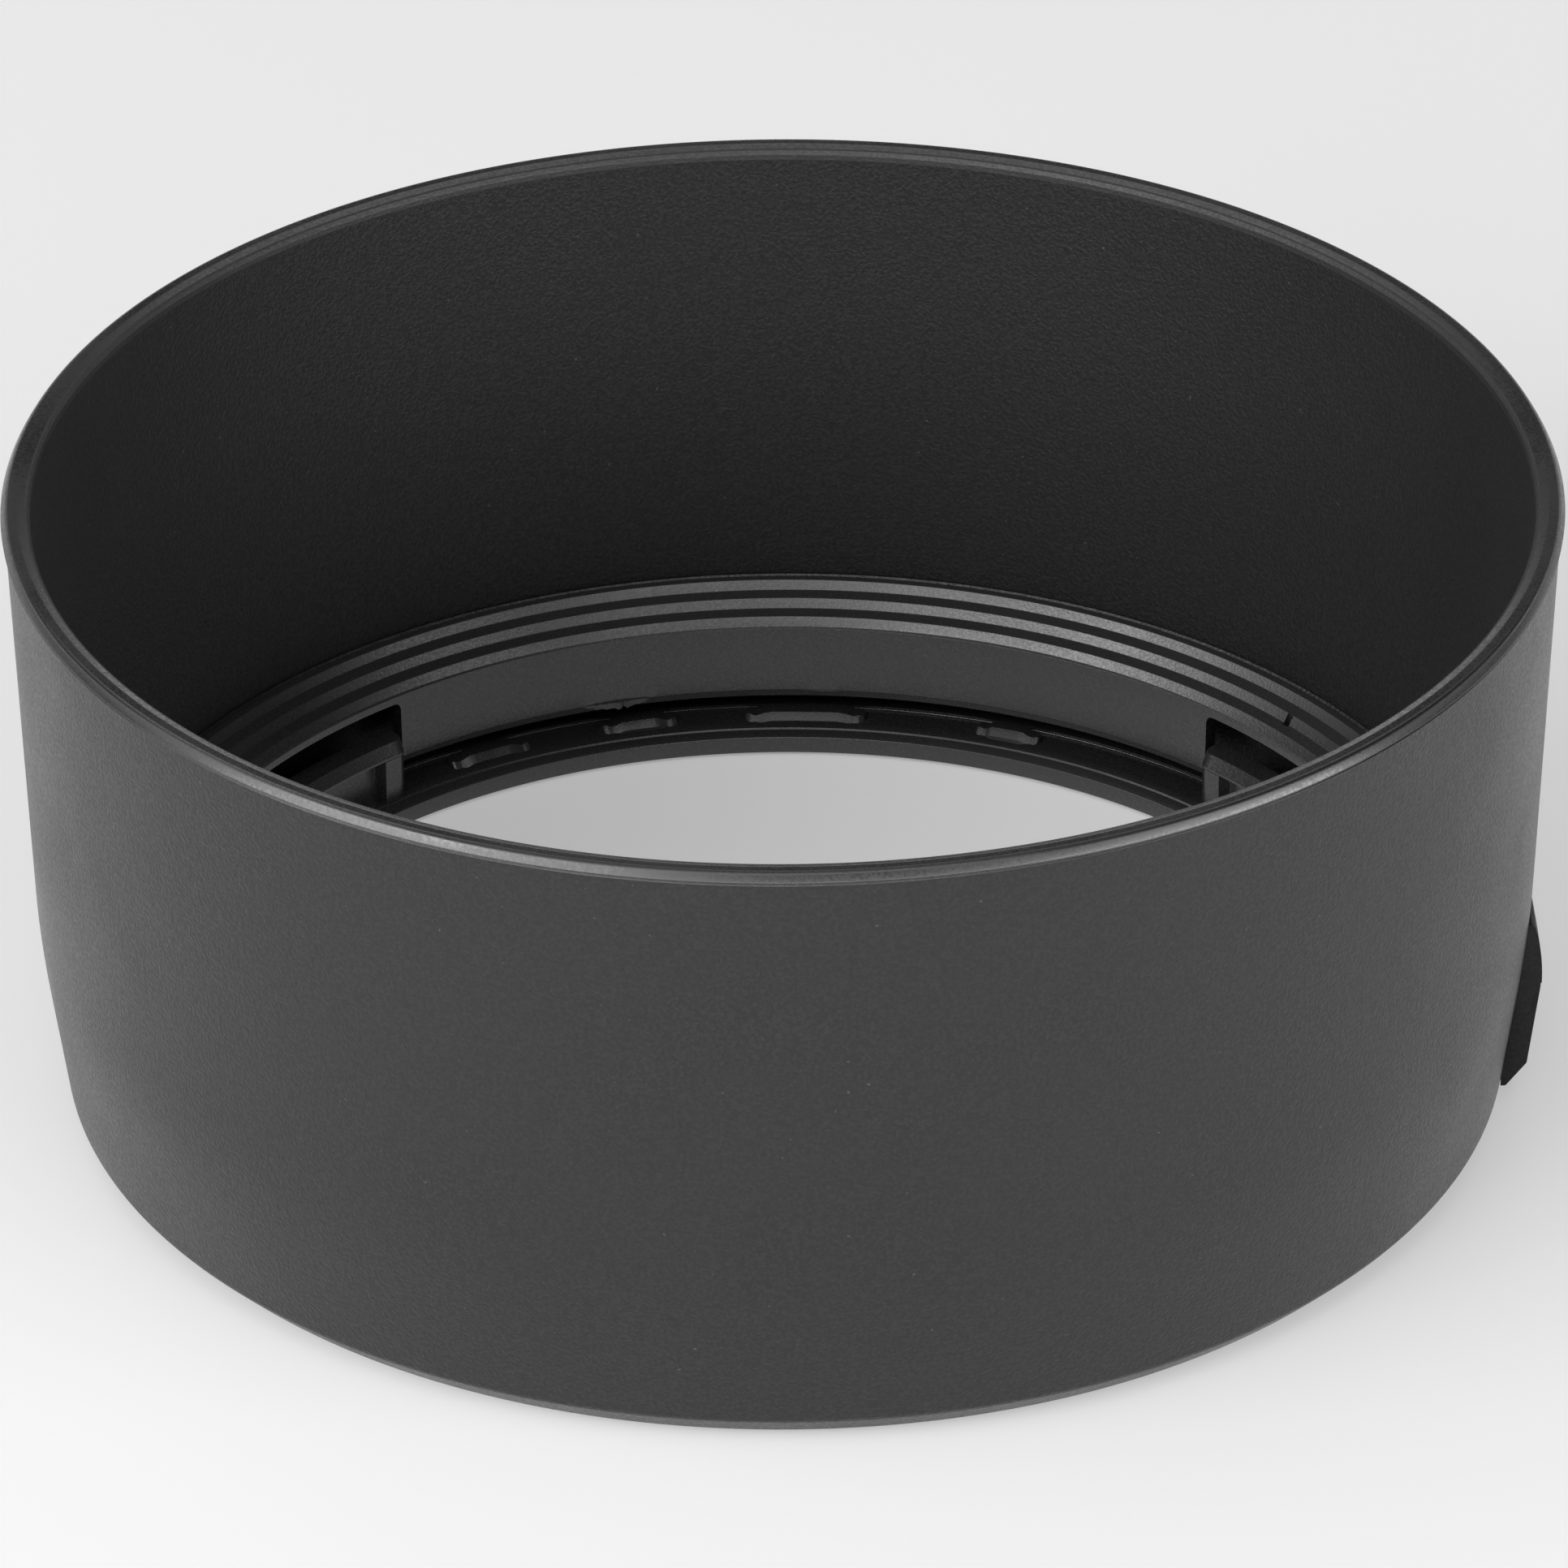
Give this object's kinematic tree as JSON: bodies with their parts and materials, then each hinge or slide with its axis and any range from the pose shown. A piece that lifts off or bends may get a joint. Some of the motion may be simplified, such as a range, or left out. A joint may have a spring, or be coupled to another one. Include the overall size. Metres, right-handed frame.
{
  "type": "lens hood",
  "caption": "Round bayonet lens hood in black moulded plastic: tapered shell, stepped baffle ring, bayonet flange and a sprung lock-release button with its latch lever.",
  "frame": {"origin": "on the optical axis, at the lens-side face of the bayonet flange", "axes": "+Z along the optical axis towards the front rim, +X towards the lock-release button"},
  "size_m": [0.08, 0.08, 0.034],
  "materials": {
    "shell_plastic": "spark-eroded fine grain",
    "ring_plastic": "satin moulded",
    "button_plastic": "smooth satin",
    "latch_plastic": "smooth acetal",
    "spring_steel": "drawn wire",
    "screw_steel": "black oxide"
  },
  "bodies": {
    "hood": {"hood_shell": "shell_plastic", "baffle_ring": "ring_plastic", "bayonet_flange": "ring_plastic", "latch_cover": "ring_plastic", "cover_screw_left": "screw_steel", "cover_screw_right": "screw_steel", "latch_pivot_pin": "spring_steel", "button_spring_left": "spring_steel", "button_spring_right": "spring_steel"},
    "button": {"release_button": "button_plastic"},
    "latch": {"latch_lever": "latch_plastic"}
  },
  "joints": [
    {"name": "button_press", "type": "slide", "parent": "hood", "child": "button", "axis": [-1, 0, 0], "range_m": [0, 0.0008], "stiffness_N_per_m": 1500, "springref_m": -0.0006, "deforming": ["button_spring_left", "button_spring_right"]},
    {"name": "latch_rock", "type": "hinge", "parent": "hood", "child": "latch", "pos_m": [0.0354, 0, 0.0022], "axis": [0, 0, 1], "range_deg": [0, 11.5]}
  ],
  "couplings": [
    {"joint": "latch_rock", "follows": "button_press", "rad_per_m": 250}
  ]
}
